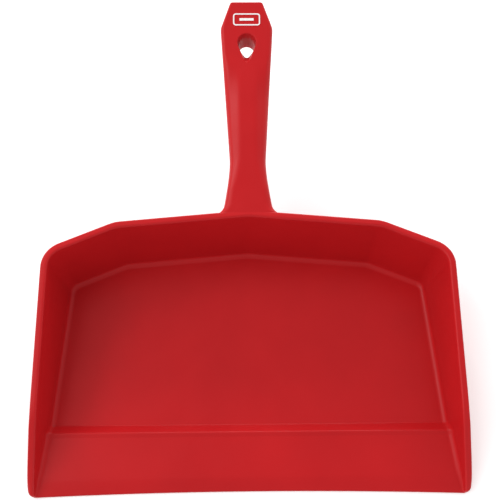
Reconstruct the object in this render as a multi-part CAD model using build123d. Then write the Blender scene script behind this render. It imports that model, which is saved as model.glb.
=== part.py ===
"""One-piece moulded dustpan with a raised front ramp and an upswept handle.

The real object is a single plastic moulding. It is built here region by region, each region a
closed solid that meets its neighbours face to face. All sizes are in millimetres. While a
region is made, X runs to the right, Y runs from the lip towards the handle and Z is up, with
Y = 0 at the lip's front corners and Z = 0 on the ground. The finished regions are then moved so
that the origin is at the middle of the overall box, on the ground.
"""

import math
import os

from build123d import *

# Pan, seen from above, on the plane of the floor's top face
lip_width = 295.0
lip_set_back = 2.8
lip_corner_radius = 5.5
crest_inset = 7.9
crest_foot_depth = 47.0
rear_inset = 15.9
rear_depth = 147.2
kink_inset = 39.06
kink_depth = 163.7
back_depth = 171.5

# Corner radii in plan, on the same plane
peak_radius = 30.0
kink_radius = 14.0
rear_corner_radius = 8.0
crest_bend_radius = 90.0

# Floor, crest and ramp, seen from the side
floor_thickness = 3.0
crest_height = 8.0
crest_step_run = 6.5
lip_depth = 8.0
lip_edge_thickness = 1.2

# Walls and rim
wall_thickness = 2.6
wall_draft = 0.12
rear_rim_height = 57.5
rim_shoulder_depth = 47.0
rim_shoulder_height = 34.0
rim_shoulder_radius = 55.0
rim_rear_radius = 60.0
lip_corner_height = 5.0
flange_width = 4.6
flange_thickness = 2.6
corner_margin = 12.0

# Handle
overall_length = 330.0
handle_rise = 0.203
neck_run = 36.0
neck_half_width = 12.6
neck_flare = 5.7
neck_root_fillet = 6.0
flat_half_width = 5.9
flat_flare = 10.6
neck_thickness = 21.0
root_thickness = 32.0
widest_half_width = 18.0
widest_from_end = 18.5
end_half_width = 11.1
end_thickness = 15.0
end_block_length = 50.0
edge_land = 1.5
facet_run_out = 8.0
shoulder_share = 0.75
shoulder_slope = 0.42
side_share = 0.15
belly_width = 0.93
belly_share = 0.62
sole_width = 0.6

# Hanging hole, straight through the end block along Z
hole_radius = 6.0
hole_from_end = 29.7
hole_tip = 8.4
mouth_radius = 6.4
mouth_tip = 14.0
mouth_depth = 5.0

# Plain printed mark: an empty frame round a short bar
mark_from_end = 13.2
mark_length = 19.0
mark_height = 9.0
mark_line = 0.9
mark_bar_length = 10.0
mark_bar_height = 1.8
mark_thickness = 0.2
mark_corner_radius = 2.0

# Sizes that follow from the ones above
half_lip = lip_width / 2
front_half_width = half_lip - flange_width - wall_draft * (lip_corner_height - floor_thickness)
crest_half_width = front_half_width - crest_inset
rear_half_width = front_half_width - rear_inset
kink_half_width = rear_half_width - kink_inset
rim_back = back_depth + wall_draft * (rear_rim_height - floor_thickness) + flange_width
wall_back = rim_back - flange_width + wall_thickness
crest_depth = crest_foot_depth - crest_step_run
ramp_slope = (crest_height - lip_edge_thickness) / crest_depth
side_end = rear_depth - corner_margin
neck_root_half_width = neck_half_width + neck_flare + neck_root_fillet
neck_end = rim_back + neck_run
end_block_start = overall_length - end_block_length
widest_at = overall_length - widest_from_end
hole_at = overall_length - hole_from_end

# Reach of the helper solids beyond the part
far = 2 * overall_length
tall = 3 * rear_rim_height
below = -5.0
lead = 40.0


def mirrored(right):
    """A closed outline from its right half, listed from the front round to the centre line."""
    left = [(-x, y) for x, y in reversed(right) if x > 0]
    return right + left


def pan_outline(height, outward):
    """The pan's plan at a height, with the draft of the walls and an outward offset."""
    front_splay = crest_inset / crest_foot_depth
    right = [
        (front_half_width + lead * front_splay, -lead),
        (crest_half_width, crest_foot_depth),
        (rear_half_width, rear_depth),
        (kink_half_width, kink_depth),
        (0, back_depth),
    ]
    growth = wall_draft * (height - floor_thickness) + outward
    sharp = offset(make_face(Polyline(*mirrored(right), close=True)), amount=growth, kind=Kind.INTERSECTION)
    face = sharp
    for (x, y), radius in (
        (right[4], peak_radius + growth),
        (right[3], kink_radius + growth),
        (right[2], rear_corner_radius + growth),
        (right[1], crest_bend_radius - growth),
    ):
        for side in {x, -x}:
            corner = nearest(sharp.vertices(), side, y + growth)
            face = fillet(nearest(face.vertices(), corner.X, corner.Y), radius)
    return Pos(0, 0, height) * face


def nearest(vertices, x, y):
    """The vertex closest to a point in plan."""
    return min(vertices, key=lambda vertex: math.hypot(vertex.X - x, vertex.Y - y))


def tub(outward):
    """A drafted block that fills the pan, grown outward by a wall or a flange."""
    return loft([pan_outline(below, outward), pan_outline(tall, outward)], ruled=True)


def side_prism(points, radii=None):
    """A solid with a given side view, running right across the pan."""
    face = make_face(Polyline(*points, close=True))
    for (y, z), radius in (radii or {}).items():
        face = fillet(nearest(face.vertices(), y, z), radius)
    side_plane = Plane(origin=(-far / 2, 0, 0), x_dir=(0, 1, 0), z_dir=(1, 0, 0))
    return extrude(side_plane * face, far)


def under_rim(drop):
    """Everything below the rim's top line, lowered by a drop."""
    front_slope = (rim_shoulder_height - lip_corner_height) / rim_shoulder_depth
    shoulder = (rim_shoulder_depth, rim_shoulder_height - drop)
    rear = (rear_depth, rear_rim_height - drop)
    points = [
        (-lead, lip_corner_height - drop - lead * front_slope),
        shoulder,
        rear,
        (far, rear_rim_height - drop),
        (far, -far),
        (-lead, -far),
    ]
    return side_prism(points, {shoulder: rim_shoulder_radius, rear: rim_rear_radius})


def footprint():
    """The ground behind the bowed lip, with the lip's rounded front corners."""
    front = ThreePointArc((-half_lip, 0), (0, lip_set_back), (half_lip, 0))
    rest = Polyline((half_lip, 0), (half_lip, far), (-half_lip, far), (-half_lip, 0))
    face = make_face([front, rest])
    corners = face.vertices().sort_by(Axis.Y)[:2]
    return Pos(0, 0, below) * extrude(fillet(corners, lip_corner_radius), tall)


def zone(x_low, x_high, y_low, y_high):
    """A tall block over part of the plan, which cuts one region out of the moulding."""
    size = (x_high - x_low, y_high - y_low)
    block = Box(*size, 4 * tall)
    return Pos((x_low + x_high) / 2, (y_low + y_high) / 2, 0) * block


def floor_regions(inside):
    """The flat floor, the raised crest, the ramp and the thin scraping lip."""
    ramp_top = lip_edge_thickness + ramp_slope * lip_depth
    crest_front = crest_depth - floor_thickness
    crest_front_top = lip_edge_thickness + ramp_slope * crest_front
    crest_under = crest_height - floor_thickness
    under_slope = crest_under / (crest_depth - lip_depth)
    crest_front_under = under_slope * (crest_front - lip_depth)
    sections = {
        "pan_floor": [
            (crest_foot_depth, 0),
            (far / 2, 0),
            (far / 2, floor_thickness),
            (crest_foot_depth, floor_thickness),
        ],
        "ramp_crest": [
            (crest_foot_depth, 0),
            (crest_foot_depth, floor_thickness),
            (crest_depth, crest_height),
            (crest_front, crest_front_top),
            (crest_front, crest_front_under),
            (crest_depth, crest_under),
        ],
        "front_ramp": [
            (crest_front, crest_front_under),
            (crest_front, crest_front_top),
            (lip_depth, ramp_top),
            (lip_depth, 0),
        ],
        "scraping_lip": [
            (lip_depth, 0),
            (lip_depth, ramp_top),
            (0, lip_edge_thickness),
            (-lead, lip_edge_thickness),
            (-lead, 0),
        ],
    }
    return {name: inside & side_prism(points) for name, points in sections.items()}


def around_the_pan(ring, name, centre_gap):
    """A wall or a rim, cut into its side, corner and back stretches, left and right."""
    reach = far / 2
    stretches = {
        f"side_{name}": (kink_half_width, reach, -reach, side_end),
        f"corner_{name}": (kink_half_width, reach, side_end, reach),
        f"back_{name}": (centre_gap, kink_half_width, side_end, reach),
    }
    regions = {}
    for stretch, (inner, outer, near, back) in stretches.items():
        regions[f"right_{stretch}"] = ring & zone(inner, outer, near, back)
        regions[f"left_{stretch}"] = ring & zone(-outer, -inner, near, back)
    return regions


def handle_top(y):
    """The height of the handle's flat top, which rises from the back wall's top edge."""
    return rear_rim_height + handle_rise * (y - wall_back)


def handle_section(y, half_width, flat, thickness):
    """A ten-sided section: flat top, two sloping shoulders, sides and a narrower underside."""
    shoulder = flat + shoulder_share * (half_width - flat)
    shoulder_drop = shoulder_slope * (shoulder - flat)
    side_drop = shoulder_drop + side_share * thickness
    right = [
        (sole_width * half_width, -thickness),
        (belly_width * half_width, -belly_share * thickness),
        (half_width, -side_drop),
        (shoulder, -shoulder_drop),
        (flat, 0),
    ]
    points = right + [(-x, z) for x, z in reversed(right)]
    plane = Plane(origin=(0, y, handle_top(y)), x_dir=(1, 0, 0), z_dir=(0, -1, 0))
    return plane * make_face(Polyline(*points, close=True))


def neck_section(run):
    """The neck at a distance behind the rim: flared at its root and narrowest at its end."""
    left_to_run = min(1.0, 1 - run / neck_run)
    half_width = neck_half_width + neck_flare * left_to_run**1.75
    if run < neck_root_fillet:
        inset = neck_root_fillet - max(run, 0.0)
        half_width += neck_root_fillet - math.sqrt(neck_root_fillet**2 - inset**2)
    flat = flat_half_width + flat_flare * left_to_run**1.5
    thickness = neck_thickness + (root_thickness - neck_thickness) * left_to_run**2
    return handle_section(rim_back + run, half_width, flat, thickness)


def grip_half_width(y):
    """The grip's half width, which grows evenly from the neck to the widest place."""
    share = (y - neck_end) / (widest_at - neck_end)
    return neck_half_width + (widest_half_width - neck_half_width) * share


def grip_thickness(y):
    """The grip's thickness, which shrinks evenly from the neck to the end."""
    share = (y - neck_end) / (overall_length - neck_end)
    return neck_thickness + (end_thickness - neck_thickness) * share


def neck(outside, rims):
    """The flared neck, which stands on the back wall between the two back rims."""
    behind_wall = rim_back - (back_depth - wall_thickness)
    root_runs = [-behind_wall, 0.0, neck_root_fillet / 6, neck_root_fillet / 2.4, neck_root_fillet]
    flare_runs = [neck_run * share for share in (0.3, 0.5, 0.75, 1.0)]
    runs = root_runs + flare_runs
    body = loft([neck_section(run) for run in runs], ruled=True)
    return body - outside - rims


def grip():
    """The long grip, with a flat down its middle and a sloping facet on each side."""
    faceted_end = end_block_start - facet_run_out
    sections = [
        neck_section(neck_run),
        handle_section(faceted_end, grip_half_width(faceted_end), flat_half_width, grip_thickness(faceted_end)),
        end_block_section(end_block_start),
    ]
    return loft(sections, ruled=True)


def end_block_section(y):
    """A section of the end block, whose top is one flat face almost to its edges."""
    half_width = grip_half_width(y)
    if y > widest_at:
        share = (y - widest_at) / widest_from_end
        half_width = widest_half_width + (end_half_width - widest_half_width) * share
    return handle_section(y, half_width, half_width - 2 * edge_land, grip_thickness(y))


def teardrop(radius, tip, height):
    """A circle with a tangent point towards the pan, in a level plane at a height."""
    spread = math.acos(radius / tip)
    touch_x = radius * math.sin(spread)
    touch_y = -radius * math.cos(spread)
    round_side = ThreePointArc((touch_x, touch_y), (0, radius), (-touch_x, touch_y))
    point = Polyline((-touch_x, touch_y), (0, -tip), (touch_x, touch_y))
    return Pos(0, hole_at, height) * make_face([round_side, point])


def end_block():
    """The end block with its hanging hole and the hole's dished mouth."""
    stations = (end_block_start, widest_at, overall_length)
    body = loft([end_block_section(y) for y in stations], ruled=True)
    hole = extrude(teardrop(hole_radius, hole_tip, 0), tall)
    surface = handle_top(hole_at)
    overshoot = 4.0
    growth = 1 + overshoot / mouth_depth
    wide_radius = hole_radius + (mouth_radius - hole_radius) * growth
    wide_tip = hole_tip + (mouth_tip - hole_tip) * growth
    dish = loft(
        [
            teardrop(hole_radius, hole_tip, surface - mouth_depth),
            teardrop(wide_radius, wide_tip, surface + overshoot),
        ],
        ruled=True,
    )
    return body - hole - dish


def printed_mark():
    """A plain frame and bar, printed on the end block's flat top."""
    y = overall_length - mark_from_end
    tilt = Plane(origin=(0, y, handle_top(y)), x_dir=(1, 0, 0), z_dir=(0, -handle_rise, 1))
    frame = RectangleRounded(mark_length, mark_height, mark_corner_radius) - RectangleRounded(
        mark_length - 2 * mark_line, mark_height - 2 * mark_line, mark_corner_radius - mark_line
    )
    bar = Rectangle(mark_bar_length, mark_bar_height)
    return extrude(tilt * (frame + bar), mark_thickness)


def build():
    """Every region by name, in the frame that they are made in."""
    ground = footprint()
    inner_tub = tub(0)
    wall_tub = tub(wall_thickness)
    flange_tub = tub(flange_width)
    above_ground = Pos(0, 0, tall) * Box(2 * far, 2 * far, 2 * tall)
    inside = inner_tub & ground
    wall_ring = (wall_tub - inner_tub) & under_rim(0) & above_ground & ground
    rim_ring = ((flange_tub - wall_tub) & under_rim(0) & ground & above_ground) - under_rim(flange_thickness)
    regions = floor_regions(inside)
    regions.update(around_the_pan(wall_ring, "wall", 0))
    rims = around_the_pan(rim_ring, "rim", neck_root_half_width)
    regions.update(rims)
    back_rims = rims["left_back_rim"] + rims["right_back_rim"]
    regions["handle_neck"] = neck(wall_tub, back_rims)
    regions["handle_grip"] = grip()
    regions["handle_end"] = end_block()
    regions["printed_mark"] = printed_mark()
    return regions


def main():
    regions = build()
    box = Compound(children=[Compound(list(region.solids())) for region in regions.values()]).bounding_box()
    middle = box.center()
    to_origin = Pos(-middle.X, -middle.Y, -box.min.Z)
    os.makedirs("parts", exist_ok=True)
    for name, region in regions.items():
        export_step(to_origin * Compound(list(region.solids())), f"parts/{name}.step")
    hole = to_origin * Pos(0, hole_at, handle_top(hole_at))
    print("overall box", box.size)
    print("hanging hole, at the top face", hole.position)


if __name__ == "__main__":
    main()
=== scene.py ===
import math
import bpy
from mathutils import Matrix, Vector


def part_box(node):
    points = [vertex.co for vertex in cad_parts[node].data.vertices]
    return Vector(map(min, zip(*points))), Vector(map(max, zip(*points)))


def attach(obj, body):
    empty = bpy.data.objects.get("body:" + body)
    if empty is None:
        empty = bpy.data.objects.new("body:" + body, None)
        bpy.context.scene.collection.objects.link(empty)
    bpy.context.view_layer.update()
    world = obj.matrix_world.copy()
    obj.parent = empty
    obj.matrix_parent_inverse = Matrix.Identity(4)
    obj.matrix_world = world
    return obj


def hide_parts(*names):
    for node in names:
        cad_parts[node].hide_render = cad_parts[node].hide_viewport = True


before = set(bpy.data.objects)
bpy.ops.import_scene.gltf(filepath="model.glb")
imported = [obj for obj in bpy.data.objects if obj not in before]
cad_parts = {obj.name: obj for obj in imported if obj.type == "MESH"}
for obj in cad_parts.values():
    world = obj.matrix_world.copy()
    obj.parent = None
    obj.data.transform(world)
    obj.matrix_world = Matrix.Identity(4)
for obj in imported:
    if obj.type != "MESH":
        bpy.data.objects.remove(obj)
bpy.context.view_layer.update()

from types import SimpleNamespace

import bmesh
import bpy
import numpy as np
from bpy.props import FloatProperty, FloatVectorProperty, PointerProperty
from mathutils import Matrix, Vector

bl_info = {
    "name": "Moulded dustpan",
    "version": (1, 0, 0),
    "blender": (4, 5, 0),
    "location": "3D View > Sidebar > Dustpan",
    "description": "Builds the skin, the finishes and the studio of a one-piece moulded dustpan",
    "category": "Object",
}

MM = 0.001
TIP_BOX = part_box("handle_end")
SKIN = "moulded_skin"
DEGREES = math.pi / 180


# ---- Sizes and colours that a user would change ----


def length(name, description, millimetres):
    """A length property whose default is given in millimetres and stored in metres."""
    default = millimetres * MM
    return FloatProperty(name=name, description=description, default=default, unit="LENGTH", precision=5)


def share(name, description, value):
    """A plain ratio."""
    return FloatProperty(name=name, description=description, default=value, subtype="FACTOR")


class PanSizes(bpy.types.PropertyGroup):
    lip_width: length("Lip width", "Width over the rims at the front", 295)
    lip_set_back: length("Lip set-back", "How far the middle of the lip stands back from its corners", 2.8)
    lip_corner_radius: length("Lip corner radius", "Radius of the front corners in plan", 5.5)
    lip_fade: length("Lip fade", "Depth over which the bow of the lip dies out", 26)
    lip_depth: length("Lip depth", "Depth of the thin lip", 8)
    hollow_radius: length("Hollow radius", "Rounding where the underside leaves the ground", 8)
    lip_thickness: length("Lip thickness", "Thickness of the lip at its front edge", 1.2)
    nose_depth: length("Nose depth", "Depth of the rounding on the front edge", 1.1)
    crest_inset: length("Crest inset", "How far each side comes in from the lip to the crest", 7.9)
    bevel_depth: length("Bevel depth", "Depth of the steeper bevel behind the lip's edge", 10.5)
    bevel_height: length("Bevel height", "Height of the ramp at the back of the bevel", 3.9)
    bevel_radius: length("Bevel radius", "Rounding where the bevel meets the ramp", 4)
    crest_front: length("Crest front", "Where the ramp ends and the crest begins", 36)
    crest_foot: length("Crest foot", "Depth of the line where the crest drops to the floor", 47)
    crest_top: length("Crest top", "Depth of the crest's highest line", 41)
    crest_height: length("Crest height", "Height of the crest above the ground", 8.25)
    bead_run: length("Bead run", "Depth of the steeper face in front of the crest's line", 3)
    bead_drop: length("Bead drop", "Height of that face", 0.95)
    bead_radius: length("Bead radius", "Rounding of the crest", 1)
    foot_radius: length("Crest foot radius", "Rounding where the crest meets the floor", 0.9)
    floor_start: length("Floor start", "Where the flat floor begins", 49.5)
    floor_thickness: length("Floor thickness", "Thickness of the flat floor", 3)
    rear_inset: length("Rear inset", "How far each side comes in from the lip to the rear corner", 15.9)
    rear_depth: length("Rear depth", "Depth of the rear corner", 147.2)
    kink_inset: length("Kink inset", "From the rear corner to the kink in the back wall", 39.06)
    kink_depth: length("Kink depth", "Depth of the kink in the back wall", 163.7)
    back_depth: length("Back depth", "Depth of the floor at the middle of the back wall", 171.5)
    bend_radius: length("Side bend radius", "Radius of the gentle bend in each side", 90)
    corner_radius: length("Rear corner radius", "Radius of the rear corners at the floor", 8)
    kink_radius: length("Kink radius", "Radius of the kink at the floor", 14)
    peak_radius: length("Peak radius", "Radius of the back wall's shallow peak", 30)
    side_end: length("Side end", "Where the side wall gives way to the corner", 135.2)
    wall_thickness: length("Wall thickness", "Thickness of the walls", 2.6)
    wall_draft: share("Wall draft", "How far the walls lean outwards for each unit of height", 0.12)
    inner_fillet: length("Inner fillet", "Radius between the floor and the walls", 4)
    base_radius: length("Base radius", "Rounding of the walls' bottom edge", 2.5)
    rim_edge: length("Rim edge", "Rounding of the rim's inner edge", 1.6)
    rim_height: length("Rim height", "Height of the rim along the back", 57.5)
    rim_shoulder_depth: length("Rim shoulder depth", "Depth where the rim's slope eases", 47)
    rim_shoulder_height: length("Rim shoulder height", "Height where the rim's slope eases", 34)
    rim_shoulder_radius: length("Rim shoulder radius", "Radius of that bend", 55)
    rim_rear_radius: length("Rim rear radius", "Radius where the rim turns level", 60)
    rim_front_height: length("Rim front height", "Height of the rim at the lip's corners", 5)
    flange_width: length("Flange width", "How far the rim reaches from the wall's inner face", 4.6)
    flange_thickness: length("Flange thickness", "Thickness of the rim's overhang", 2.6)
    flange_fillet: length("Flange fillet", "Radius under the rim's overhang", 1)


class HandleSizes(bpy.types.PropertyGroup):
    overall_length: length("Overall length", "From the lip's corners to the handle's end", 330)
    rise: share("Rise", "Climb of the flat top for each unit of length", 0.203)
    neck_run: length("Neck run", "Length of the flared neck behind the rim", 36)
    neck_half_width: length("Neck half width", "Half width at the neck's narrowest place", 12.6)
    neck_flare: length("Neck flare", "Extra half width at the neck's root", 5.7)
    root_fillet: length("Root fillet", "Radius where the neck meets the rim", 6)
    flat_half_width: length("Flat half width", "Half width of the flat down the grip", 5.9)
    flat_flare: length("Flat flare", "Extra half width of the flat at the root", 10.6)
    end_flat: length("End flat", "Half width of the flat on the end block", 12)
    neck_thickness: length("Neck thickness", "Thickness at the neck's end", 21)
    root_thickness: length("Root thickness", "Thickness at the neck's root", 32)
    end_thickness: length("End thickness", "Thickness at the handle's end", 15)
    widest_half_width: length("Widest half width", "Half width at the widest place", 18)
    widest_from_end: length("Widest from end", "Distance of the widest place from the end", 18.5)
    widest_radius: length("Widest radius", "Rounding of the outline at the widest place", 9)
    end_half_width: length("End half width", "Half width of the end face", 11.1)
    side_allowance: length("Side allowance", "Half width that the softened sides would otherwise lose", 0.6)
    end_block_length: length("End block length", "Length of the block with the hanging hole", 50)
    end_edge: length("End edge", "Rounding of the end face's edges", 1)
    facet_slope: share("Facet slope", "Fall of the sloping facets", 0.42)
    facet_fade_start: length("Facet fade start", "Distance from the end where the facets begin to fade", 70)
    facet_fade_end: length("Facet fade end", "Distance from the end where the facets are gone", 44)
    hole_from_end: length("Hole from end", "Distance of the hanging hole from the end", 29.7)
    hole_radius: length("Hole radius", "Radius of the hanging hole", 6)
    hole_tip: length("Hole tip", "Reach of the hole's pointed side", 8.4)
    mouth_radius: length("Mouth radius", "Radius of the hole's dished mouth", 6.4)
    mouth_tip: length("Mouth tip", "Reach of the mouth's pointed side", 14)
    mouth_depth: length("Mouth depth", "Depth of the dish", 5)
    mouth_edge: length("Mouth edge", "Rounding of the mouth's edge", 0.7)
    tip_radius: length("Tip radius", "Rounding of the hole's pointed side", 2)


class Finishes(bpy.types.PropertyGroup):
    plastic: FloatVectorProperty(
        name="Plastic", description="Colour of the moulding", default=(0.49, 0.0095, 0.012), subtype="COLOR"
    )
    plastic_shade: FloatVectorProperty(
        name="Plastic shade",
        description="Its slightly deeper patches",
        default=(0.45, 0.0085, 0.011),
        subtype="COLOR",
    )
    ink: FloatVectorProperty(
        name="Ink", description="Colour of the printed mark", default=(0.86, 0.84, 0.84), subtype="COLOR"
    )
    stage_paint: FloatVectorProperty(
        name="Stage", description="Colour of the studio floor", default=(0.92, 0.92, 0.92), subtype="COLOR"
    )


def millimetres(group):
    """The group's values by name, with the lengths in millimetres."""
    values = {}
    for prop in group.bl_rna.properties:
        if prop.identifier in group.__annotations__:
            value = getattr(group, prop.identifier)
            values[prop.identifier] = value / MM if prop.unit == "LENGTH" else value
    return SimpleNamespace(**values)


# ---- Curves ----


def smooth(at, start, end):
    """A step from 0 to 1 that leaves and arrives level: 3t squared less 2t cubed."""
    t = np.clip((at - start) / (end - start), 0, 1)
    return t * t * (3 - 2 * t)


def rounded_line(at, corners, radii):
    """The height of a broken line whose inner corners are tangent arcs.

    Away from the corners it is the straight line between two of them. Within an arc's reach, which is the
    radius times the tangent of half the turn, it is the arc's centre less or plus the root of the radius
    squared less the distance squared.
    """
    along, height = np.array(corners, float).T
    result = np.interp(at, along, height)
    for k, radius in enumerate(radii, 1):
        before = math.atan2(height[k] - height[k - 1], along[k] - along[k - 1])
        after = math.atan2(height[k + 1] - height[k], along[k + 1] - along[k])
        turn = math.copysign(1, after - before)
        reach = radius * math.tan(abs(after - before) / 2)
        start = along[k] - reach * math.cos(before)
        end = along[k] + reach * math.cos(after)
        centre = start - turn * radius * math.sin(before)
        centre_height = height[k] - reach * math.sin(before) + turn * radius * math.cos(before)
        arc = centre_height - turn * np.sqrt(np.clip(radius**2 - (at - centre) ** 2, 0, None))
        result = np.where((at > start) & (at < end), arc, result)
    return result


def rim_top(pan, y):
    """Height of the rim's top: steep from the lip, easier behind the shoulder, level along the back."""
    slope = (pan.rim_shoulder_height - pan.rim_front_height) / pan.rim_shoulder_depth
    lead = pan.rim_shoulder_depth
    corners = [
        (-lead, pan.rim_front_height - slope * lead),
        (pan.rim_shoulder_depth, pan.rim_shoulder_height),
        (pan.rear_depth, pan.rim_height),
        (2 * pan.rear_depth, pan.rim_height),
    ]
    return rounded_line(y, corners, [pan.rim_shoulder_radius, pan.rim_rear_radius])


def floor_top(pan, y):
    """Height of the floor: the lip's bevel, the ramp, the crest's small bead, its drop and the flat floor."""
    bevel = (pan.bevel_height - pan.lip_thickness) / pan.bevel_depth
    corners = [
        (-pan.bevel_depth, pan.lip_thickness - bevel * pan.bevel_depth),
        (pan.bevel_depth, pan.bevel_height),
        (pan.crest_top - pan.bead_run, pan.crest_height - pan.bead_drop),
        (pan.crest_top, pan.crest_height),
        (pan.crest_foot, pan.floor_thickness),
        (2 * pan.back_depth, pan.floor_thickness),
    ]
    radii = [pan.bevel_radius, pan.bead_radius, pan.bead_radius, pan.foot_radius]
    return rounded_line(y, corners, radii)


def floor_underside(pan, y):
    """Height of the underside: flat, but hollowed behind the lip to follow the ramp."""
    hollow = pan.crest_height - pan.bead_drop - pan.floor_thickness
    corners = [
        (-pan.crest_top, 0),
        (pan.lip_depth, 0),
        (pan.crest_top - pan.bead_run, hollow),
        (pan.crest_foot, 0),
        (2 * pan.back_depth, 0),
    ]
    return np.maximum(rounded_line(y, corners, [pan.hollow_radius, pan.floor_thickness, pan.floor_thickness]), 0)


# ---- The pan's plan and its section ----


def plan_widths(pan):
    """Half widths of the floor's outline at the front, the crest, the rear corner and the kink."""
    lean = pan.wall_draft * (pan.rim_front_height - pan.floor_thickness)
    front = pan.lip_width / 2 - pan.flange_width - lean
    rear = front - pan.rear_inset
    return front, front - pan.crest_inset, rear, rear - pan.kink_inset


def side_lines(pan):
    """Angles that the front and the rear stretch of a side make with the depth direction."""
    front_lean = math.atan(pan.crest_inset / pan.crest_foot)
    side_lean = math.atan((pan.rear_inset - pan.crest_inset) / (pan.rear_depth - pan.crest_foot))
    return front_lean, side_lean


def half_width(pan, y, growth):
    """Half width of the outline at a depth, grown outwards by an offset.

    It is the larger of two leaning lines, each moved out by the growth over its cosine. Near their crossing
    it is an arc about a centre outside the pan, whose radius is the bend radius less the growth.
    """
    front, crest, _, _ = plan_widths(pan)
    front_lean, side_lean = side_lines(pan)
    on_front = front - y * math.tan(front_lean) + growth / math.cos(front_lean)
    on_side = crest - (y - pan.crest_foot) * math.tan(side_lean) + growth / math.cos(side_lean)
    middle = (front_lean + side_lean) / 2
    reach = pan.bend_radius / math.cos((front_lean - side_lean) / 2)
    centre_x = crest + reach * math.cos(middle)
    centre_y = pan.crest_foot + reach * math.sin(middle)
    radius = pan.bend_radius - growth
    sine = (centre_y - y) / radius
    on_arc = (sine < math.sin(front_lean)) & (sine > math.sin(side_lean))
    arc = centre_x - np.sqrt(np.clip(radius**2 - (centre_y - y) ** 2, 0, None))
    return np.where(on_arc, arc, np.maximum(on_front, on_side))


# Points along each corner's arc, and steps along each straight stretch between them
CORNER_POINTS, KINK_POINTS, PEAK_POINTS = 17, 9, 4
STRAIGHT_STEPS = 8


def back_path(pan):
    """The outline from the right rear corner to the middle of the back, as points and normal angles.

    Each corner is an arc about a point inside the pan: centre plus radius times the normal. The straight
    stretches between two arcs are filled with evenly spaced points.
    """
    _, _, rear, kink = plan_widths(pan)
    _, side_lean = side_lines(pan)
    corner_facing = math.atan2(rear - kink, pan.kink_depth - pan.rear_depth)
    back_facing = math.atan2(kink, pan.back_depth - pan.kink_depth)
    corners = [
        (rear, pan.rear_depth, pan.corner_radius, side_lean, corner_facing, CORNER_POINTS, corner_facing),
        (kink, pan.kink_depth, pan.kink_radius, corner_facing, back_facing, KINK_POINTS, back_facing),
        (0, pan.back_depth, pan.peak_radius, back_facing, math.pi / 2, PEAK_POINTS, math.pi - back_facing),
    ]
    points, angles = [], []
    for x, y, radius, start, end, count, other in corners:
        angle = np.linspace(start, end, count)
        reach = radius / math.cos((other - start) / 2)
        middle = (start + other) / 2
        centre = np.array([x - reach * math.cos(middle), y - reach * math.sin(middle)])
        arc = centre + radius * np.stack([np.cos(angle), np.sin(angle)], 1)
        if points:
            between = np.linspace(0, 1, STRAIGHT_STEPS + 1)[1:-1, None]
            points.append(points[-1][-1] + between * (arc[0] - points[-1][-1]))
            angles.append(np.full(STRAIGHT_STEPS - 1, start))
        points.append(arc)
        angles.append(angle)
    angles = np.concatenate(angles)
    kink_angle = (corner_facing + back_facing) / 2
    return np.concatenate(points), angles, int(np.abs(angles - kink_angle).argmin())


# Points in each stretch of the section, and the most of the wall's height that its roundings may take
FOOT_STEPS = 9
WALL_STEPS = 8
EDGE_STEPS = 6
TOP_STEPS = 4
TIP_STEPS = 7
FOOT_SHARE = 0.4
BASE_SHARE = 0.35
WALL_ROWS = FOOT_STEPS + WALL_STEPS + 1
PROFILE_ROWS = FOOT_STEPS + WALL_STEPS + EDGE_STEPS + TOP_STEPS + TIP_STEPS


def profile_blocks(array):
    """A profile's columns as its five stretches: foot, wall, edge, top and tip."""
    cuts = np.cumsum([FOOT_STEPS, WALL_STEPS, EDGE_STEPS, TOP_STEPS])
    return np.split(array, cuts, axis=1)


def inner_profile(pan, top, floor):
    """Offsets and heights from the floor's edge, up the wall's inner face and over the rim to its tip.

    The foot is an arc from level to the wall's slope, the wall is straight, the edge is an arc from the wall's
    slope to level, the top is level and the tip is a quarter circle.
    """
    lean = math.atan(pan.wall_draft)
    turn = math.pi / 2 - lean
    tops, floors = profile_blocks(top), profile_blocks(floor)
    base = pan.floor_thickness
    angle = np.linspace(0, turn, FOOT_STEPS)
    foot = np.minimum(pan.inner_fillet, FOOT_SHARE * (tops[0] - floors[0]))
    corner = pan.wall_draft * (floors[0] - base)
    foot_offset = corner - foot * math.tan(turn / 2) + foot * np.sin(angle)
    foot_height = floors[0] + foot * (1 - np.cos(angle))
    step = np.arange(1, WALL_STEPS + 1) / (WALL_STEPS + 1)
    low = floors[1] + foot[:, :1] * math.tan(turn / 2) * math.cos(lean)
    edge_reach = pan.rim_edge * math.tan(turn / 2)
    high = tops[1] - edge_reach * math.cos(lean)
    wall_height = low + step * (high - low)
    wall_offset = pan.wall_draft * (wall_height - base)
    angle = np.linspace(lean, math.pi / 2, EDGE_STEPS)
    edge_offset = pan.wall_draft * (tops[2] - base) + edge_reach - pan.rim_edge * np.cos(angle)
    edge_height = tops[2] - pan.rim_edge * (1 - np.sin(angle))
    tip = pan.flange_thickness / 2
    step = np.arange(1, TOP_STEPS + 1) / (TOP_STEPS + 1)
    start = pan.wall_draft * (tops[3] - base) + edge_reach
    end = pan.wall_draft * (tops[3] - base) + pan.flange_width - tip
    top_offset = start + step * (end - start)
    angle = np.linspace(math.pi / 2, 0, TIP_STEPS)
    tip_offset = pan.wall_draft * (tops[4] - base) + pan.flange_width - tip * (1 - np.cos(angle))
    tip_height = tops[4] - tip * (1 - np.sin(angle))
    offsets = np.concatenate([foot_offset, wall_offset, edge_offset, top_offset, tip_offset], 1)
    heights = np.concatenate([foot_height, wall_height, edge_height, tops[3], tip_height], 1)
    return offsets, heights


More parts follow.
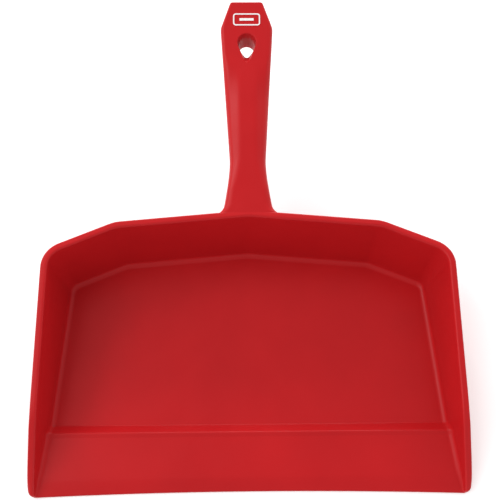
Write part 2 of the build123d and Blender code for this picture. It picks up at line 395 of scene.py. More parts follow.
def outer_profile(pan, top, floor):
    """Offsets and heights from under the floor's edge, up the wall's outer face and round to the rim's tip.

    The bottom edge is an arc from level to the wall's slope, the wall is straight, a hollow arc carries it
    into the rim's level underside and the tip is a quarter circle.
    """
    lean = math.atan(pan.wall_draft)
    turn = math.pi / 2 - lean
    tops, floors = profile_blocks(top), profile_blocks(floor)
    base = pan.floor_thickness
    foot = np.minimum(pan.inner_fillet, FOOT_SHARE * (tops[0] - floors[0]))
    start = pan.wall_draft * (floors[0] - base) - foot * math.tan(turn / 2)
    radius = np.minimum(pan.base_radius, BASE_SHARE * (tops[0] - pan.flange_thickness))
    reach = radius * math.tan(turn / 2)
    angle = np.concatenate([[0], np.linspace(0, turn, FOOT_STEPS - 1)])
    edge = pan.wall_thickness - pan.wall_draft * base - reach + radius * np.sin(angle)
    foot_offset = np.where(np.arange(FOOT_STEPS) == 0, start, edge)
    foot_height = radius * (1 - np.cos(angle))
    step = np.arange(1, WALL_STEPS + 1) / (WALL_STEPS + 1)
    under_reach = pan.flange_fillet * math.tan(turn / 2)
    low = reach[:, :1] * math.cos(lean)
    high = tops[1] - pan.flange_thickness - under_reach * math.cos(lean)
    wall_height = low + step * (high - low)
    wall_offset = pan.wall_thickness + pan.wall_draft * (wall_height - base)
    angle = np.linspace(lean, math.pi / 2, EDGE_STEPS)
    under = tops[2] - pan.flange_thickness
    edge_offset = pan.wall_thickness + pan.wall_draft * (under - base) + under_reach
    edge_offset = edge_offset - pan.flange_fillet * np.cos(angle)
    edge_height = under - pan.flange_fillet * (1 - np.sin(angle))
    tip = pan.flange_thickness / 2
    step = np.arange(1, TOP_STEPS + 1) / (TOP_STEPS + 1)
    under = tops[3] - pan.flange_thickness
    start = pan.wall_thickness + pan.wall_draft * (under - base) + under_reach
    end = pan.wall_draft * (tops[3] - base) + pan.flange_width - tip
    top_offset = start + step * (end - start)
    angle = np.linspace(-math.pi / 2, 0, TIP_STEPS)
    tip_offset = pan.wall_draft * (tops[4] - base) + pan.flange_width - tip * (1 - np.cos(angle))
    tip_height = tops[4] - tip * (1 - np.sin(angle))
    offsets = np.concatenate([foot_offset, wall_offset, edge_offset, top_offset, tip_offset], 1)
    heights = np.concatenate([foot_height, wall_height, edge_height, under, tip_height], 1)
    return offsets, heights


# Stations on the nose, the lip, the ramp, the crest and the side behind it
NOSE_POINTS, LIP_POINTS, RAMP_POINTS, CREST_POINTS, SIDE_POINTS = 8, 8, 16, 40, 22


def side_depths(pan):
    """The depths of the side stations, and where the lip, ramp, crest and side end among them."""
    nose = pan.nose_depth * (1 - np.cos(np.linspace(0, 90, NOSE_POINTS) * DEGREES))
    stretches = [
        nose,
        np.linspace(pan.nose_depth, pan.lip_depth, LIP_POINTS)[1:],
        np.linspace(pan.lip_depth, pan.crest_front, RAMP_POINTS)[1:],
        np.linspace(pan.crest_front, pan.floor_start, CREST_POINTS)[1:],
        np.linspace(pan.floor_start, pan.side_end, SIDE_POINTS)[1:],
    ]
    counts = np.cumsum([len(stretch) for stretch in stretches]) - 1
    return np.concatenate(stretches), counts


def closed_nose(pan, y, inner, outer):
    """Brings the two skins together at the front edge.

    Each point moves towards the middle of its pair by one less the root of one less t squared, where t grows
    from 0 at the back of the nose to 1 at the edge, so the edge is round.
    """
    t = np.clip(1 - y / pan.nose_depth, 0, 1)
    t = t.reshape(t.shape + (1,) * (inner.ndim - 1))
    pull = 1 - np.sqrt(1 - t * t)
    middle = (inner + outer) / 2
    return inner + pull * (middle - inner), outer + pull * (middle - outer)


def bowed(pan, points):
    """Sets the lip's middle back along a parabola and rounds its corners with a circle in plan."""
    x, y = points[..., 0], points[..., 1]
    half = pan.lip_width / 2
    bow = pan.lip_set_back * (1 - (x / half) ** 2)
    past = np.clip(np.abs(x) - (half - pan.lip_corner_radius), 0, pan.lip_corner_radius)
    corner = pan.lip_corner_radius - np.sqrt(pan.lip_corner_radius**2 - past**2)
    shift = (np.clip(bow, 0, None) + corner) * np.clip(1 - y / pan.lip_fade, 0, 1) ** 2
    front_lean, _ = side_lines(pan)
    result = points.copy()
    result[..., 0] = x * (1 - math.tan(front_lean) * shift / half)
    result[..., 1] = y + shift
    return result


HEIGHT_ROUNDS = 6


def pan_skins(pan):
    """The right half's inner and outer skin, as grids of stations along the outline by profile rows.

    A side station lies across the pan at one depth, and a station of the corner or the back lies along the
    outline's normal. A point is the outline grown by the profile's offset, at the profile's height. The rim's
    height depends on the point's own depth, so the two are found together in a few rounds.
    """
    depths, _ = side_depths(pan)
    path, angles, _ = back_path(pan)
    normal = np.stack([np.cos(angles), np.sin(angles)], 1)
    skins = []
    for profile in (inner_profile, outer_profile):
        side_y = np.repeat(depths[:, None], PROFILE_ROWS, 1)
        offsets, heights = profile(pan, rim_top(pan, side_y), floor_top(pan, side_y))
        side = np.stack([half_width(pan, side_y, offsets), side_y, heights], 2)
        back_y = np.repeat(path[:, 1:], PROFILE_ROWS, 1)
        for _ in range(HEIGHT_ROUNDS):
            offsets, heights = profile(pan, rim_top(pan, back_y), floor_top(pan, back_y))
            back_y = path[:, 1:] + normal[:, 1:] * offsets
        back = np.stack([path[:, :1] + normal[:, :1] * offsets, back_y, heights], 2)
        back[-1, :, 0] = 0
        skins.append(np.concatenate([side, back]))
    stations = np.concatenate([depths, path[:, 1]])
    inner, outer = closed_nose(pan, stations, *skins)
    return bowed(pan, inner), bowed(pan, outer)


# ---- Meshes ----


def quads(rows, columns):
    """Corner numbers of every cell of a grid, row by row."""
    corner = (np.arange(rows - 1)[:, None] * columns + np.arange(columns - 1)).reshape(-1)
    return np.stack([corner, corner + 1, corner + columns + 1, corner + columns], 1)


def mirrored(grid):
    """The same grid on the other side of the middle plane."""
    return grid * np.array([-1, 1, 1])


def skin(grid):
    """A patch of the moulding's visible surface."""
    return grid, True


def cap(grid):
    """A patch that closes a piece where it meets its neighbour."""
    return grid, False


def across(one, other, steps=2):
    """A ruled grid between two edges."""
    t = np.linspace(0, 1, steps)[:, None, None]
    return one + t * (other - one)


def to_row(points):
    """From millimetres behind the lip to metres in the frame's own axes."""
    sizes = millimetres(bpy.context.scene.dustpan_handle)
    shift = sizes.overall_length - TIP_BOX[1].y / MM
    return (points - np.array([0, shift, 0])) * MM


def add_piece(name, patches, replaced):
    """Joins patches into one closed mesh that rides on the part and stands for its CAD node.

    Points that fall together become one, a cell with two equal corners becomes a triangle and a cell with no
    area is dropped.
    """
    points = np.concatenate([grid.reshape(-1, 3) for grid, _ in patches])
    cells, visible, first = [], [], 0
    for grid, shown in patches:
        found = quads(*grid.shape[:2]) + first
        cells.append(found)
        visible.append(np.full(len(found), shown))
        first += grid.shape[0] * grid.shape[1]
    _, index, inverse = np.unique(np.round(points, 5), axis=0, return_index=True, return_inverse=True)
    cells = inverse.reshape(-1)[np.concatenate(cells)]
    visible = np.concatenate(visible)
    distinct = cells != np.roll(cells, -1, axis=1)
    whole = distinct.sum(1) >= 3
    cells, visible, distinct = cells[whole], visible[whole], distinct[whole]
    corners = distinct.sum(1)
    mesh = bpy.data.meshes.new(name)
    mesh.vertices.add(len(index))
    mesh.vertices.foreach_set("co", to_row(points[index]).astype(np.float32).ravel())
    mesh.loops.add(int(corners.sum()))
    mesh.loops.foreach_set("vertex_index", cells[distinct].astype(np.int32))
    mesh.polygons.add(len(corners))
    mesh.polygons.foreach_set("loop_start", (np.cumsum(corners) - corners).astype(np.int32))
    mesh.update(calc_edges=True)
    marks = mesh.attributes.new(SKIN, "BOOLEAN", "FACE")
    marks.data.foreach_set("value", visible)
    face_outwards(mesh)
    piece = bpy.data.objects.new(name, mesh)
    bpy.context.scene.collection.objects.link(piece)
    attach(piece, "root")
    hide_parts(replaced)
    mesh.materials.append(red_plastic())
    return piece


def face_outwards(mesh):
    """Turns every face of a closed mesh to point out of it."""
    shape = bmesh.new()
    shape.from_mesh(mesh)
    bmesh.ops.recalc_face_normals(shape, faces=shape.faces)
    shape.to_mesh(mesh)
    shape.free()


def blend_seams(pieces):
    """Gives the whole moulding one smooth shading, so that no seam shows between its pieces.

    A visible point's normal is the sum of the normals of all visible faces round it, in every piece, each
    weighted by its area. A hidden face keeps its own normal.
    """
    places, corners, normals = [], [], []
    for piece in pieces:
        mesh = piece.data
        place = np.empty(len(mesh.vertices) * 3, np.float32)
        mesh.vertices.foreach_get("co", place)
        corner = np.empty(len(mesh.loops), np.int32)
        mesh.loops.foreach_get("vertex_index", corner)
        normal = np.empty(len(mesh.polygons) * 3, np.float32)
        mesh.polygons.foreach_get("normal", normal)
        area = np.empty(len(mesh.polygons), np.float32)
        mesh.polygons.foreach_get("area", area)
        count = np.empty(len(mesh.polygons), np.int32)
        mesh.polygons.foreach_get("loop_total", count)
        shown = np.empty(len(mesh.polygons), bool)
        mesh.attributes[SKIN].data.foreach_get("value", shown)
        face = np.repeat(np.arange(len(count)), count)
        places.append(place.reshape(-1, 3))
        corners.append((corner, shown[face]))
        normals.append((normal.reshape(-1, 3)[face], area[face, None]))
    _, shared = np.unique(np.round(np.concatenate(places), 7), axis=0, return_inverse=True)
    shared = shared.reshape(-1)
    starts = np.cumsum([0] + [len(place) for place in places])
    total = np.zeros((shared.max() + 1, 3))
    for start, (corner, shown), (normal, area) in zip(starts, corners, normals):
        np.add.at(total, shared[start + corner[shown]], (normal * area)[shown])
    total /= np.maximum(np.linalg.norm(total, axis=1, keepdims=True), 1e-20)
    for piece, start, (corner, shown), (normal, _) in zip(pieces, starts, corners, normals):
        blended = np.where(shown[:, None], total[shared[start + corner]], normal)
        piece.data.shade_smooth()
        piece.data.normals_split_custom_set(blended.tolist())


# ---- Floor, walls and rims ----


FLOOR_SHARES = np.linspace(-1, 1, 61)
FLOOR_RINGS = 9


def front_grids(pan, start, end):
    """Top and underside of a stretch of the ramped front, with the nose closed and the lip bowed."""
    depths, _ = side_depths(pan)
    depths = depths[start : end + 1]
    rim, floor = rim_top(pan, depths), floor_top(pan, depths)
    foot = np.minimum(pan.inner_fillet, FOOT_SHARE * (rim - floor))
    turn = math.pi / 2 - math.atan(pan.wall_draft)
    offset = pan.wall_draft * (floor - pan.floor_thickness) - foot * math.tan(turn / 2)
    edge = half_width(pan, depths, offset)
    flat = np.empty((len(depths), len(FLOOR_SHARES), 3))
    flat[..., 0] = edge[:, None] * FLOOR_SHARES
    flat[..., 1] = depths[:, None]
    top, under = flat.copy(), flat
    top[..., 2] = floor[:, None]
    under[..., 2] = floor_underside(pan, depths)[:, None]
    top, under = closed_nose(pan, depths, top, under)
    return bowed(pan, top), bowed(pan, under)


def plate(one, other):
    """Patches of a closed plate: its two skins and the caps round its four sides."""
    patches = [skin(one), skin(other)]
    for edge in (0, -1):
        patches.append(cap(across(one[edge], other[edge])))
        patches.append(cap(across(one[:, edge], other[:, edge])))
    return patches


def flat_floor(pan, inner):
    """Patches of the flat floor: rings that shrink evenly from its edge towards a pole, top and bottom."""
    _, counts = side_depths(pan)
    start = counts[3]
    right = inner[start:, 0]
    left = mirrored(right)[::-1][1:]
    shares = FLOOR_SHARES[1:-1, None]
    front = right[0] * np.array([0, 1, 1]) + shares * np.array([1.0, 0, 0]) * right[0, 0]
    edge = np.concatenate([right, left, front, right[:1]])
    pole = np.array([0, (right[0, 1] + pan.back_depth) / 2, pan.floor_thickness])
    rings = np.linspace(1, 0, FLOOR_RINGS)[:, None, None]
    top = pole + rings * (edge - pole)
    under = top * np.array([1, 1, 0])
    return [skin(top), skin(under), cap(across(under[0], top[0]))]


def on_the_left(patches):
    """The same patches mirrored."""
    return [(mirrored(grid), shown) for grid, shown in patches]


# ---- Handle ----


def handle_top(pan, handle, y):
    """Height of the handle's flat top, which climbs evenly from the back wall's top edge."""
    wall_back = pan.back_depth + pan.wall_draft * (pan.rim_height - pan.floor_thickness) + pan.wall_thickness
    return pan.rim_height + handle.rise * (y - wall_back)


def rim_back(pan):
    """Depth of the rim's rearmost line."""
    return pan.back_depth + pan.wall_draft * (pan.rim_height - pan.floor_thickness) + pan.flange_width


def end_inset(handle, y):
    """How far the skin draws in near the end face: a quarter circle of the end edge's radius."""
    into = np.clip(y - (handle.overall_length - handle.end_edge), 0, handle.end_edge)
    return handle.end_edge - np.sqrt(handle.end_edge**2 - into**2)


# How the handle's section falls off along the neck and is shared out round its corners
FLARE_POWER = 1.75
FLAT_POWER = 1.5
ROOT_THICKENING = 0.7
NECK_RADIUS = 120
FLAT_LIMIT = 0.72
SHOULDER_SHARE = 0.75
SIDE_SHARE = 0.15
SOLE_WIDTH = 0.6
BELLY_WIDTH = 0.93
BELLY_SHARE = 0.62
WIDENING_START, WIDENING_END = -8, 4


def handle_polygon(pan, handle, y):
    """Corners of the handle's section at each depth, as x and height above the flat top's line.

    The half width is the neck's flare, which falls off as a power of the run, then a straight taper to the
    widest place and a straight one to the end, joined by an arc. Two sloping facets lie beside the flat.
    """
    run = y - rim_back(pan)
    left = np.clip(1 - run / handle.neck_run, 0, 1)
    inset = np.clip(handle.root_fillet - run, 0, handle.root_fillet)
    root = handle.root_fillet - np.sqrt(handle.root_fillet**2 - inset**2)
    neck_end = rim_back(pan) + handle.neck_run
    taper = [
        (0, handle.neck_half_width),
        (neck_end, handle.neck_half_width),
        (handle.overall_length - handle.widest_from_end, handle.widest_half_width + handle.side_allowance),
        (handle.overall_length, handle.end_half_width + handle.side_allowance),
    ]
    half = rounded_line(y, taper, [NECK_RADIUS, handle.widest_radius])
    half = half + handle.neck_flare * left**FLARE_POWER + root
    half = half - end_inset(handle, y)
    thinning = [(neck_end, handle.neck_thickness), (handle.overall_length, handle.end_thickness)]
    thickness = np.interp(y, *np.array(thinning).T)
    thickness = thickness + (handle.root_thickness - handle.neck_thickness) * left**2 + ROOT_THICKENING * root
    thickness = thickness - 2 * end_inset(handle, y)
    length_left = handle.overall_length - y
    fading = smooth(length_left, handle.facet_fade_end, handle.facet_fade_start)
    flat = handle.flat_half_width + handle.flat_flare * left**FLAT_POWER
    start, end = handle.facet_fade_end + WIDENING_START, handle.facet_fade_end + WIDENING_END
    widening = handle.end_flat - handle.flat_half_width
    flat = flat + widening * (1 - smooth(length_left, start, end))
    flat = np.minimum(flat, FLAT_LIMIT * half)
    shoulder = flat + SHOULDER_SHARE * (half - flat)
    shoulder_drop = handle.facet_slope * fading * (shoulder - flat)
    side_drop = shoulder_drop + SIDE_SHARE * thickness
    right = np.stack(
        [
            np.stack([half, -side_drop], 1),
            np.stack([shoulder, -shoulder_drop], 1),
            np.stack([flat, 0 * flat], 1),
        ],
        1,
    )
    low = np.stack(
        [
            np.stack([SOLE_WIDTH * half, -thickness], 1),
            np.stack([BELLY_WIDTH * half, -BELLY_SHARE * thickness], 1),
        ],
        1,
    )
    flip = np.array([-1, 1])
    corners = np.concatenate([right, right[:, ::-1] * flip, low[:, ::-1] * flip, low], 1)
    corners[..., 1] -= end_inset(handle, y)[:, None]
    return corners


# How far each corner of the section is cut back before it is rounded, in the polygon's order
SOFTENING = np.array([2.2, 1.7, 1.9, 1.9, 1.7, 2.2, 4.0, 3.5, 3.5, 4.0])
SOFTENING_LIMIT = 0.45
BEND_STEPS = 5


def handle_loop(pan, handle, y):
    """The section with every corner softened, as loops of x and height above the top's line.

    Each corner becomes a quadratic curve between two points on its edges, drawn towards the corner. The loop
    is given as an upper and a lower half, each from one widest point to the other.
    """
    corners = handle_polygon(pan, handle, y)
    before = np.roll(corners, 1, axis=1) - corners
    after = np.roll(corners, -1, axis=1) - corners
    before_length = np.linalg.norm(before, axis=2)
    after_length = np.linalg.norm(after, axis=2)
    cut = np.minimum(SOFTENING, SOFTENING_LIMIT * np.minimum(before_length, after_length))
    start = corners + before * (cut / before_length)[..., None]
    end = corners + after * (cut / after_length)[..., None]
    t = np.linspace(0, 1, BEND_STEPS)[:, None]
    curve = (
        (1 - t) ** 2 * start[:, :, None]
        + 2 * t * (1 - t) * corners[:, :, None]
        + t**2 * end[:, :, None]
    )
    loop = curve.reshape(len(y), -1, 2)
    middle = BEND_STEPS // 2
    half = loop.shape[1] // 2
    loop = np.roll(loop, -middle, axis=1)
    closed = np.concatenate([loop, loop[:, :1]], 1)
    return closed[:, : half + 1], closed[:, half:][:, ::-1]


# Places along the half loop: the flat lies between CENTRE and the next, and LAST is the widest point
CENTRE = 12
LAST = 25
WALL_FOLLOW = 0.8
FLAT_POINTS = 13
ACROSS = np.concatenate(
    [np.arange(CENTRE), np.linspace(CENTRE, CENTRE + 1, FLAT_POINTS), np.arange(CENTRE + 2, LAST + 1)]
)


def on_handle(pan, handle, y, place, lower=False):
    """Points of the handle's skin at depths and places along the half loop, found by straight interpolation.

    Near the rim each point is moved along the depth to follow the back wall: forward with its distance from
    the middle, and with its height by the wall's draft.
    """
    loop = handle_loop(pan, handle, y)[int(lower)]
    low = np.clip(np.floor(place).astype(int), 0, LAST - 1)
    rows = np.arange(len(y))
    t = (place - low)[:, None]
    flat = loop[rows, low] * (1 - t) + loop[rows, low + 1] * t
    _, _, _, kink = plan_widths(pan)
    peak_slope = (pan.back_depth - pan.kink_depth) / kink
    height = handle_top(pan, handle, y) + flat[:, 1]
    follow = 1 - smooth(y - rim_back(pan), 0, WALL_FOLLOW * handle.neck_run)
    shift = follow * (pan.wall_draft * (height - pan.rim_height) - peak_slope * np.abs(flat[:, 0]))
    depth = y + shift
    return np.stack([flat[:, 0], depth, handle_top(pan, handle, depth) + flat[:, 1]], 1)


def handle_stretch(pan, handle, depths):
    """Upper and lower skin of a stretch of the handle, as grids of stations by places."""
    grid_y = np.repeat(depths, len(ACROSS))
    place = np.tile(ACROSS, len(depths))
    shape = (len(depths), len(ACROSS), 3)
    return [on_handle(pan, handle, grid_y, place, lower).reshape(shape) for lower in (False, True)]


def teardrop(handle, angle, radius, tip):
    """A circle with a rounded point towards the pan, at angles measured from the point's direction.

    A small circle makes the point and two straight lines touch both circles. On a line the distance from the
    large circle's centre is the radius over the cosine of the angle from the place of touch. On the small
    circle it is the far root of the crossing of the ray and that circle.
    """
    small = handle.tip_radius
    away = tip - small
    spread = math.acos((radius - small) / away)
    turn = np.abs(angle)
    on_line = radius / np.cos(np.clip(spread - turn, 0, None))
    on_point = away * np.cos(turn) + np.sqrt(np.clip(small**2 - (away * np.sin(turn)) ** 2, 0, None))
    point_end = math.atan2(small * math.sin(spread), away + small * math.cos(spread))
    distance = np.where(turn < point_end, on_point, on_line)
    centre = handle.overall_length - handle.hole_from_end
    return np.stack([distance * np.sin(angle), centre - distance * np.cos(angle)], 1)


# Points down the block's long sides and round its end edge, rings out from the hole and how they gather
BLOCK_SIDE_POINTS, BLOCK_EDGE_POINTS = 26, 7
BLOCK_RINGS = 22
BLOCK_GATHER = 1.8
HOLE_EDGE_RINGS, DISH_RINGS = 6, 7
END_RINGS = 7


def block_rays(pan, handle):
    """Depths, places and directions of the points round the end block's edge, seen from the hole's centre."""
    start = handle.overall_length - handle.end_block_length
    flat_end = handle.overall_length - handle.end_edge
    long_side = np.linspace(start, flat_end, BLOCK_SIDE_POINTS)
    short_side = flat_end + handle.end_edge * np.sin(np.linspace(0, 90, BLOCK_EDGE_POINTS) * DEGREES)
    side = np.concatenate([long_side, short_side[1:]])
    back = np.full(len(ACROSS) - 1, side[-1])
    y = np.concatenate([np.full(len(ACROSS), start), side[1:], back, side[::-1][1:]])
    run = len(side) - 1
    place = np.concatenate([ACROSS, np.full(run, LAST), ACROSS[::-1][1:], np.zeros(run)])
    edge = on_handle(pan, handle, y, place)
    centre = handle.overall_length - handle.hole_from_end
    angle = np.arctan2(edge[:, 0], centre - edge[:, 1])
    return y, place, angle, len(ACROSS), len(side)


def place_of(pan, handle, points, lower):
    """The place along the half loop of points in plan, which all lie on the flat between its middle corners."""
    loop = handle_loop(pan, handle, points[:, 1])[int(lower)]
    start, end = loop[:, CENTRE, 0], loop[:, CENTRE + 1, 0]
    return CENTRE + (points[:, 0] - start) / (end - start)


def block_face(pan, handle, hole, y, place, lower):
    """The block's upper or lower skin: rays from the hole's edge to the block's edge, closer near the edge."""
    t = np.linspace(0, 1, BLOCK_RINGS)
    t = (1 - (1 - t) ** BLOCK_GATHER)[:, None]
    hole_place = place_of(pan, handle, hole, lower)
    ray_y = hole[:, 1] + t * (y - hole[:, 1])
    ray_place = hole_place + t * (place - hole_place)
    points = on_handle(pan, handle, ray_y.ravel(), ray_place.ravel(), lower)
    return points.reshape(len(t), len(y), 3)


def hole_wall(pan, handle, angle):
    """The hole's wall as rings: a rounded edge, the dish, the straight bore and a rounded lower edge."""
    quarter = np.linspace(0, 90, HOLE_EDGE_RINGS) * DEGREES
    edge = handle.mouth_edge
    grow = edge * (1 - np.sin(quarter))
    rings = [
        (handle.mouth_radius + wider, handle.mouth_tip + wider, depth)
        for wider, depth in zip(grow, edge * (1 - np.cos(quarter)))
    ]
    for step in np.linspace(0, 1, DISH_RINGS)[1:]:
        radius = handle.mouth_radius + step * (handle.hole_radius - handle.mouth_radius)
        tip = handle.mouth_tip + step * (handle.hole_tip - handle.mouth_tip)
        rings.append((radius, tip, edge + step * (handle.mouth_depth - edge)))
    upper = []
    for radius, tip, depth in rings:
        outline = teardrop(handle, angle, radius, tip)
        height = handle_top(pan, handle, outline[:, 1]) - depth
        upper.append(np.concatenate([outline, height[:, None]], 1))
    lower = []
    for wider, rise in zip(grow[::-1], edge * (1 - np.cos(quarter))[::-1]):
        outline = teardrop(handle, angle, handle.hole_radius + wider, handle.hole_tip + wider)
        place = place_of(pan, handle, outline, True)
        skin_points = on_handle(pan, handle, outline[:, 1], place, True)
        lower.append(skin_points + np.array([0, 0, rise]))
    return np.stack(upper + lower)


# ---- Materials ----


def add_node(tree, kind, **settings):
    """A node with its settings, whose unlinked inputs are given by name."""
    node = tree.nodes.new(kind)
    inputs = settings.pop("inputs", {})
    for key, value in settings.items():
        setattr(node, key, value)
    for key, value in inputs.items():
        node.inputs[key].default_value = value
    return node


def noise(tree, place, scale, detail=3.0, roughness=0.55):
    """A noise pattern on object coordinates."""
    node = add_node(
        tree, "ShaderNodeTexNoise", inputs={"Scale": scale, "Detail": detail, "Roughness": roughness}
    )
    tree.links.new(place, node.inputs["Vector"])
    return node.outputs["Fac"]


def ranged(tree, value, low, high, start=0.0, end=1.0):
    """A value carried from one range to another."""
    inputs = {"From Min": start, "From Max": end, "To Min": low, "To Max": high}
    node = add_node(tree, "ShaderNodeMapRange", inputs=inputs)
    tree.links.new(value, node.inputs["Value"])
    return node.outputs["Result"]


def fresh_material(name):
    """An empty node material with its shader and object coordinates."""
    material = bpy.data.materials.new(name)
    material.use_nodes = True
    tree = material.node_tree
    tree.nodes.clear()
    shader = tree.nodes.new("ShaderNodeBsdfPrincipled")
    output = tree.nodes.new("ShaderNodeOutputMaterial")
    tree.links.new(shader.outputs["BSDF"], output.inputs["Surface"])
    place = tree.nodes.new("ShaderNodeTexCoord").outputs["Object"]
    return material, tree, shader, place


# Scales are cycles per metre of object space. Ranges say where a pattern starts and ends.
PATCH_SCALE, PATCH_RANGE = 14, (0.35, 0.65)
SCUFF_SCALE, SCUFF_TURN, SCUFF_STRETCH = 900, 0.35, 0.06
SCUFF_ROUGHNESS, SCUFF_RANGE = 0.09, (0.62, 0.74)
SATIN_SCALE, SATIN_ROUGHNESS, SATIN_RANGE = 60, (0.3, 0.37), (0.3, 0.7)
GRAIN_SCALE, GRAIN_STRENGTH, GRAIN_DEPTH = 1500, 0.06, 0.0002
WAVE_SCALE, WAVE_STRENGTH, WAVE_DEPTH = 22, 0.25, 0.0008
PLASTIC_IOR = 1.49
PLASTIC_SPECULAR = 0.18


def red_plastic():
    """Glossy moulded polypropylene: faint flow patches, a fine moulded grain and light scuffs."""
    name = "red_moulded_plastic"
    if name in bpy.data.materials:
        return bpy.data.materials[name]
    finishes = bpy.context.scene.dustpan_finishes
    material, tree, shader, place = fresh_material(name)
    patches = noise(tree, place, PATCH_SCALE, 4)
    tint = add_node(tree, "ShaderNodeMix", data_type="RGBA")
    tint.inputs["A"].default_value = (*finishes.plastic_shade, 1)
    tint.inputs["B"].default_value = (*finishes.plastic, 1)
    tree.links.new(ranged(tree, patches, 0, 1, *PATCH_RANGE), tint.inputs["Factor"])
    tree.links.new(tint.outputs["Result"], shader.inputs["Base Color"])
    stretch = add_node(tree, "ShaderNodeMapping")
    stretch.inputs["Rotation"].default_value = (0, 0, SCUFF_TURN)
    stretch.inputs["Scale"].default_value = (1, SCUFF_STRETCH, 1)
    tree.links.new(place, stretch.inputs["Vector"])
    scuffs = noise(tree, stretch.outputs["Vector"], SCUFF_SCALE, 2)
    scuffed = ranged(tree, scuffs, 0, SCUFF_ROUGHNESS, *SCUFF_RANGE)
    satin = ranged(tree, noise(tree, place, SATIN_SCALE, 5), *SATIN_ROUGHNESS, *SATIN_RANGE)
    rough = add_node(tree, "ShaderNodeMath", operation="ADD", use_clamp=True)
    tree.links.new(satin, rough.inputs[0])
    tree.links.new(scuffed, rough.inputs[1])
    tree.links.new(rough.outputs["Value"], shader.inputs["Roughness"])
    grain = noise(tree, place, GRAIN_SCALE, 2)
    waves = noise(tree, place, WAVE_SCALE, 1)
    fine = add_node(tree, "ShaderNodeBump", inputs={"Strength": GRAIN_STRENGTH, "Distance": GRAIN_DEPTH})
    tree.links.new(grain, fine.inputs["Height"])
    broad = add_node(tree, "ShaderNodeBump", inputs={"Strength": WAVE_STRENGTH, "Distance": WAVE_DEPTH})
    tree.links.new(waves, broad.inputs["Height"])
    tree.links.new(fine.outputs["Normal"], broad.inputs["Normal"])
    tree.links.new(broad.outputs["Normal"], shader.inputs["Normal"])
    shader.inputs["IOR"].default_value = PLASTIC_IOR
    shader.inputs["Specular IOR Level"].default_value = PLASTIC_SPECULAR
    return material


INK_SPECKLE_SCALE, INK_SPECKLE_RANGE, INK_DULL, INK_ROUGHNESS = 1400, (0.35, 0.6), 0.86, (0.42, 0.6)


def white_ink():
    """Matt printing ink with a slightly uneven coat."""
    finishes = bpy.context.scene.dustpan_finishes
    material, tree, shader, place = fresh_material("white_printing_ink")
    speckle = noise(tree, place, INK_SPECKLE_SCALE, 4)
    tint = add_node(tree, "ShaderNodeMix", data_type="RGBA")
    tint.inputs["A"].default_value = (*(INK_DULL * channel for channel in finishes.ink), 1)
    tint.inputs["B"].default_value = (*finishes.ink, 1)
    tree.links.new(ranged(tree, speckle, 0, 1, *INK_SPECKLE_RANGE), tint.inputs["Factor"])
    tree.links.new(tint.outputs["Result"], shader.inputs["Base Color"])
    tree.links.new(ranged(tree, speckle, *INK_ROUGHNESS), shader.inputs["Roughness"])
    return material


STAGE_GLOW, STAGE_MOTTLE_SCALE, STAGE_MOTTLE = 0.2, 3, 0.99
STAGE_ROUGHNESS, STAGE_SPECULAR = 0.9, 0.1


def stage_paint():
    """Pale matt studio floor, lit a little from within, with a barely visible mottle."""
    finishes = bpy.context.scene.dustpan_finishes
    material, tree, shader, place = fresh_material("studio_floor")
    mottle = noise(tree, place, STAGE_MOTTLE_SCALE, 3)
    tint = add_node(tree, "ShaderNodeMix", data_type="RGBA")
    tint.inputs["A"].default_value = (*(STAGE_MOTTLE * channel for channel in finishes.stage_paint), 1)
    tint.inputs["B"].default_value = (*finishes.stage_paint, 1)
    tree.links.new(mottle, tint.inputs["Factor"])
    tree.links.new(tint.outputs["Result"], shader.inputs["Base Color"])
    shader.inputs["Roughness"].default_value = STAGE_ROUGHNESS
    shader.inputs["Emission Color"].default_value = (1, 1, 1, 1)
    shader.inputs["Emission Strength"].default_value = STAGE_GLOW
    shader.inputs["Specular IOR Level"].default_value = STAGE_SPECULAR
    return material


# ---- Operators ----


def sizes():
    """The pan's and the handle's sizes in millimetres."""
    scene = bpy.context.scene
    return millimetres(scene.dustpan_pan), millimetres(scene.dustpan_handle)


class DUSTPAN_OT_floor(bpy.types.Operator):
    """Build the flat floor, the crest, the ramp and the scraping lip"""

    bl_idname = "dustpan.floor"
    bl_label = "Floor and ramp"

    def execute(self, context):
        pan, _ = sizes()
        inner, _ = pan_skins(pan)
        _, counts = side_depths(pan)
        stretches = {
            "scraping_lip": (0, counts[1]),
            "front_ramp": (counts[1], counts[2]),
            "ramp_crest": (counts[2], counts[3]),
        }
        for name, (start, end) in stretches.items():
            add_piece(f"{name}_skin", plate(*front_grids(pan, start, end)), name)
        add_piece("pan_floor_skin", flat_floor(pan, inner), "pan_floor")
        return {"FINISHED"}


def around_the_pan(name, rows):
    """Builds the side, corner and back stretches of the wall or the rim, right and left."""
    pan, _ = sizes()
    inner, outer = pan_skins(pan)
    _, counts = side_depths(pan)
    _, _, kink = back_path(pan)
    side_end = counts[4]
    kink_station = side_end + 1 + kink
    stretches = {
        f"side_{name}": (0, side_end),
        f"corner_{name}": (side_end, kink_station),
        f"back_{name}": (kink_station, len(inner) - 1),
    }
    first, last = rows
    for stretch, (start, end) in stretches.items():
        patches = plate(*(grid[start : end + 1, first : last + 1] for grid in (inner, outer)))
        add_piece(f"right_{stretch}_skin", patches, f"right_{stretch}")
        add_piece(f"left_{stretch}_skin", on_the_left(patches), f"left_{stretch}")


class DUSTPAN_OT_walls(bpy.types.Operator):
    """Build the drafted walls with their inner fillet"""

    bl_idname = "dustpan.walls"
    bl_label = "Walls"

    def execute(self, context):
        around_the_pan("wall", (0, WALL_ROWS - 1))
        return {"FINISHED"}


class DUSTPAN_OT_rims(bpy.types.Operator):
    """Build the rolled rim that runs round the pan"""

    bl_idname = "dustpan.rims"
    bl_label = "Rims"

    def execute(self, context):
        around_the_pan("rim", (WALL_ROWS - 1, PROFILE_ROWS - 1))
        return {"FINISHED"}


